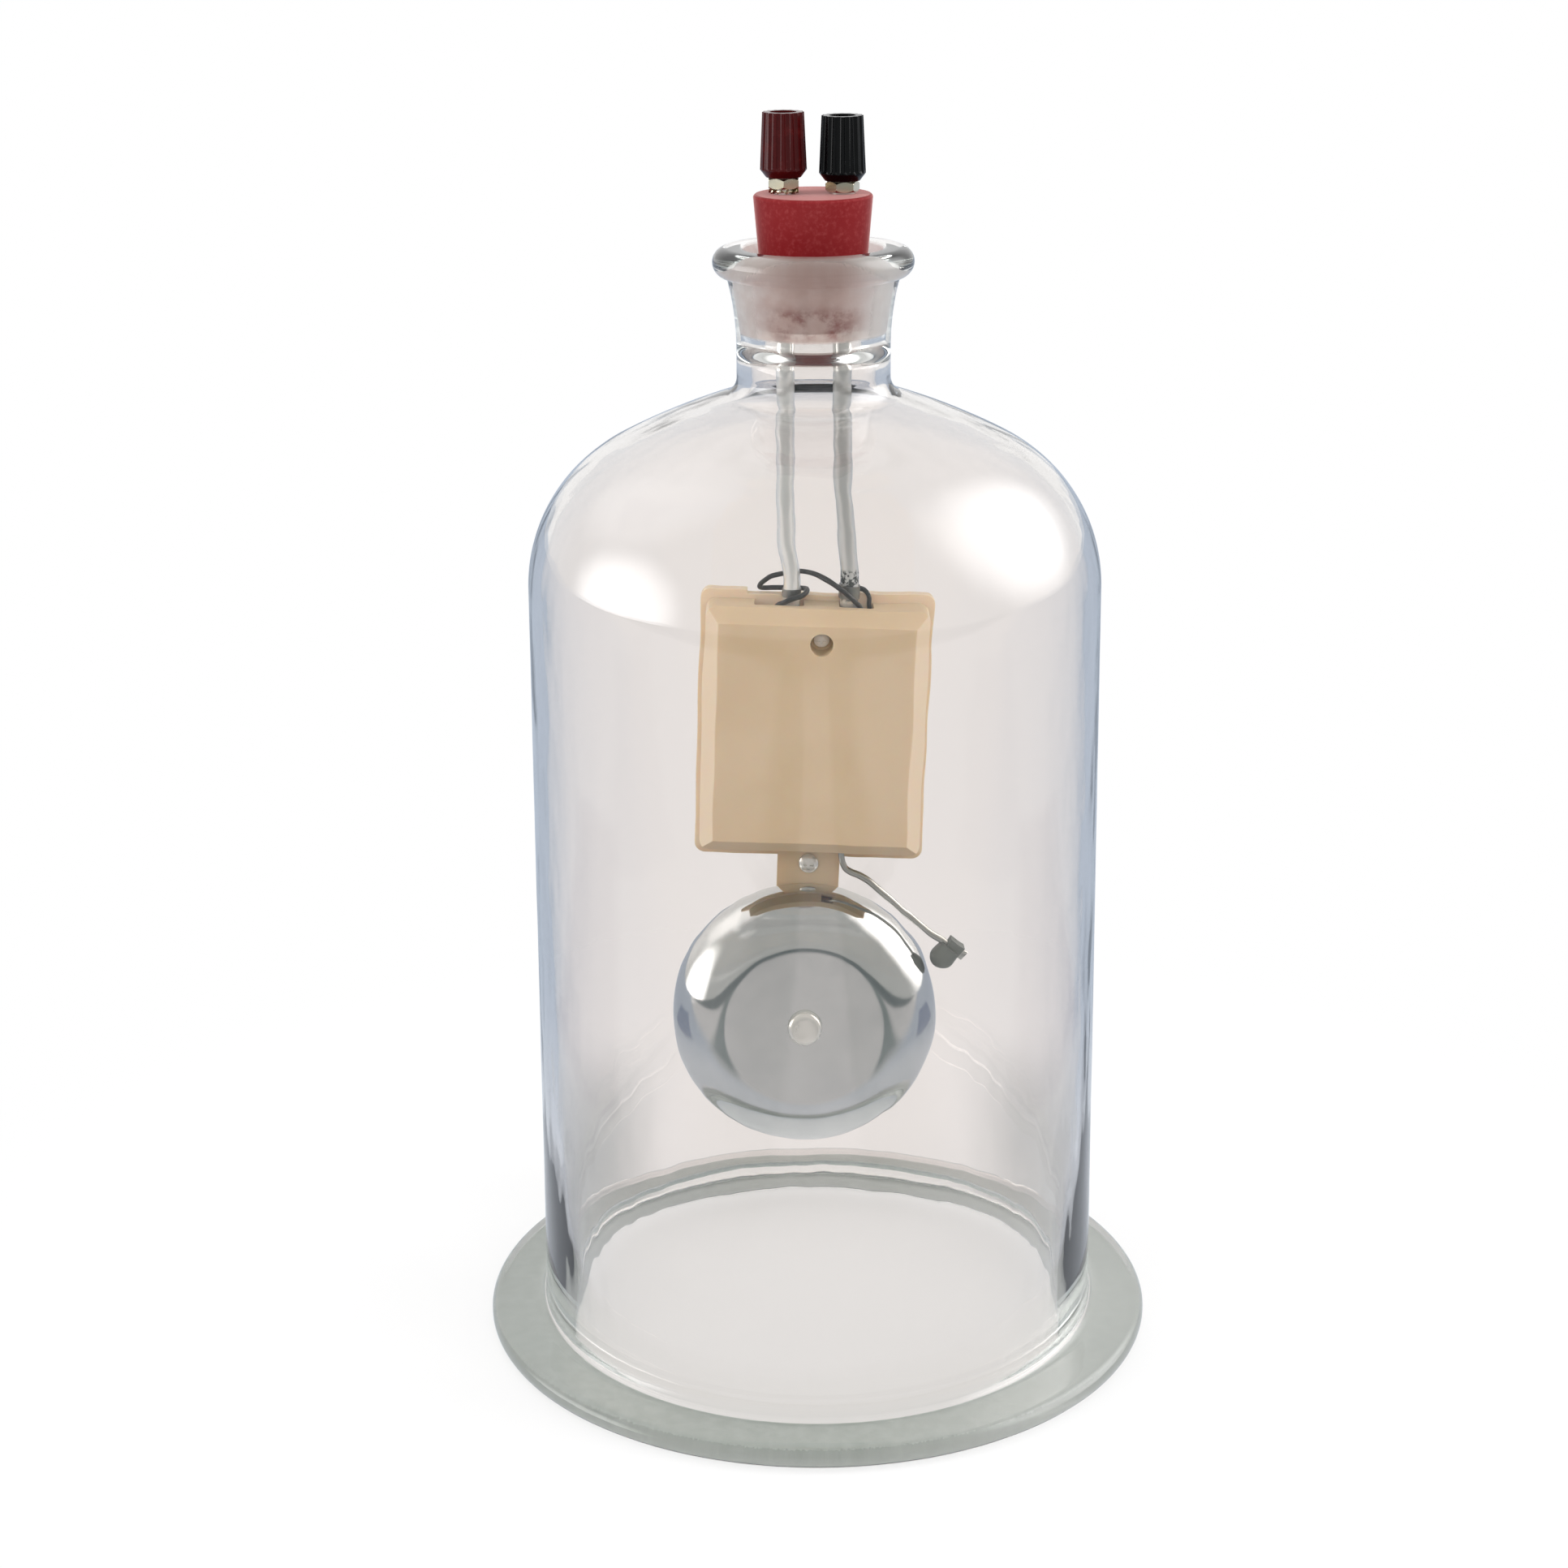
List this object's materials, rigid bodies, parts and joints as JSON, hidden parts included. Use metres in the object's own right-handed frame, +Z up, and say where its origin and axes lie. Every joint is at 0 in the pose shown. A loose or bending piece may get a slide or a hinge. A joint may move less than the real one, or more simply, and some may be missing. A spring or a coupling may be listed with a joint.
{
  "type": "vacuum bell jar with electric bell",
  "caption": "Open-bottomed glass bell jar with a flanged foot and a stoppered neck; an electric bell hangs inside on two conducting rods that end in plug sockets.",
  "frame": {"origin": "centre of the ground face of the glass flange", "axes": "+Z up along the axis of the jar and its neck; the gong and the cover of the bell face -Y; +X is to the right of someone who looks at the gong"},
  "size_m": [0.195, 0.195, 0.3514],
  "materials": {
    "glass": "clear, ground where the stopper and the flange seat",
    "red_rubber": "matt",
    "rod_metal": "bright plated",
    "nut_metal": "plated brass",
    "steel": "plain",
    "iron": "soft iron",
    "brass": "turned",
    "gong_metal": "polished",
    "striker_metal": "dull",
    "red_plastic": "moulded, fluted",
    "black_plastic": "moulded",
    "cream_plastic": "moulded, aged",
    "bobbin_plastic": "pressed fibre",
    "copper": "enamelled wire",
    "lead_cover": "insulated wire",
    "solder": "dull solder"
  },
  "bodies": {
    "jar": {"glass_jar": "glass"},
    "hanging_bell": {"rubber_stopper": "red_rubber", "red_rod": "rod_metal", "black_rod": "rod_metal", "red_star_washer": "nut_metal", "black_washer": "steel", "red_nut": "nut_metal", "black_nut": "nut_metal", "base_plate": "cream_plastic", "cover": "cream_plastic", "cover_screw": "steel", "gong_strip": "steel", "strip_screw": "steel", "strip_nut": "nut_metal", "gong_post": "steel", "gong": "gong_metal", "gong_screw": "gong_metal", "magnet_yoke": "iron", "magnet_cores": "iron", "coil_bobbins": "bobbin_plastic", "coil_windings": "copper", "rod_clamp": "black_plastic", "clamp_screw": "steel", "contact_bracket": "brass", "contact_screw": "brass", "contact_lock_nut": "brass", "spring_bracket": "steel", "frame_screws": "steel", "solder_joints": "solder", "left_lead": "lead_cover", "right_lead": "lead_cover", "long_lead": "lead_cover", "coil_end_leads": "copper"},
    "hammer": {"armature": "iron", "armature_spring": "steel", "contact_leaf": "brass", "armature_rivets": "brass", "hammer_wire": "steel", "striker": "striker_metal"},
    "red_sleeve": {"red_socket": "brass"},
    "red_post_cap": {"red_cap": "red_plastic"},
    "black_sleeve": {"black_socket": "brass"},
    "black_post_cap": {"black_cap": "black_plastic"}
  },
  "joints": [
    {"name": "stopper_lift", "type": "slide", "parent": "jar", "child": "hanging_bell", "axis": [0, 0, 1], "range_m": [0, 0.045]},
    {"name": "hammer_swing", "type": "hinge", "parent": "hanging_bell", "child": "hammer", "pos_m": [0.00978, -0.0046, 0.18858], "axis": [0, 1, 0], "range_deg": [0, 1.1], "stiffness_Nm_per_rad": 0.1, "springref_deg": -2.01},
    {"name": "red_post_rise", "type": "slide", "parent": "hanging_bell", "child": "red_sleeve", "axis": [0, 0, 1], "range_m": [0, 0.004]},
    {"name": "red_post_turn", "type": "hinge", "parent": "red_sleeve", "child": "red_post_cap", "pos_m": [-0.00785, 0, 0.3344], "axis": [0, 0, 1], "range_deg": [0, 1800]},
    {"name": "black_post_rise", "type": "slide", "parent": "hanging_bell", "child": "black_sleeve", "axis": [0, 0, 1], "range_m": [0, 0.004]},
    {"name": "black_post_turn", "type": "hinge", "parent": "black_sleeve", "child": "black_post_cap", "pos_m": [0.00785, 0, 0.3334], "axis": [0, 0, 1], "range_deg": [0, 1800]}
  ],
  "couplings": [
    {"joint": "red_post_turn", "follows": "red_post_rise", "rad_per_m": 7854},
    {"joint": "black_post_turn", "follows": "black_post_rise", "rad_per_m": 7854}
  ]
}
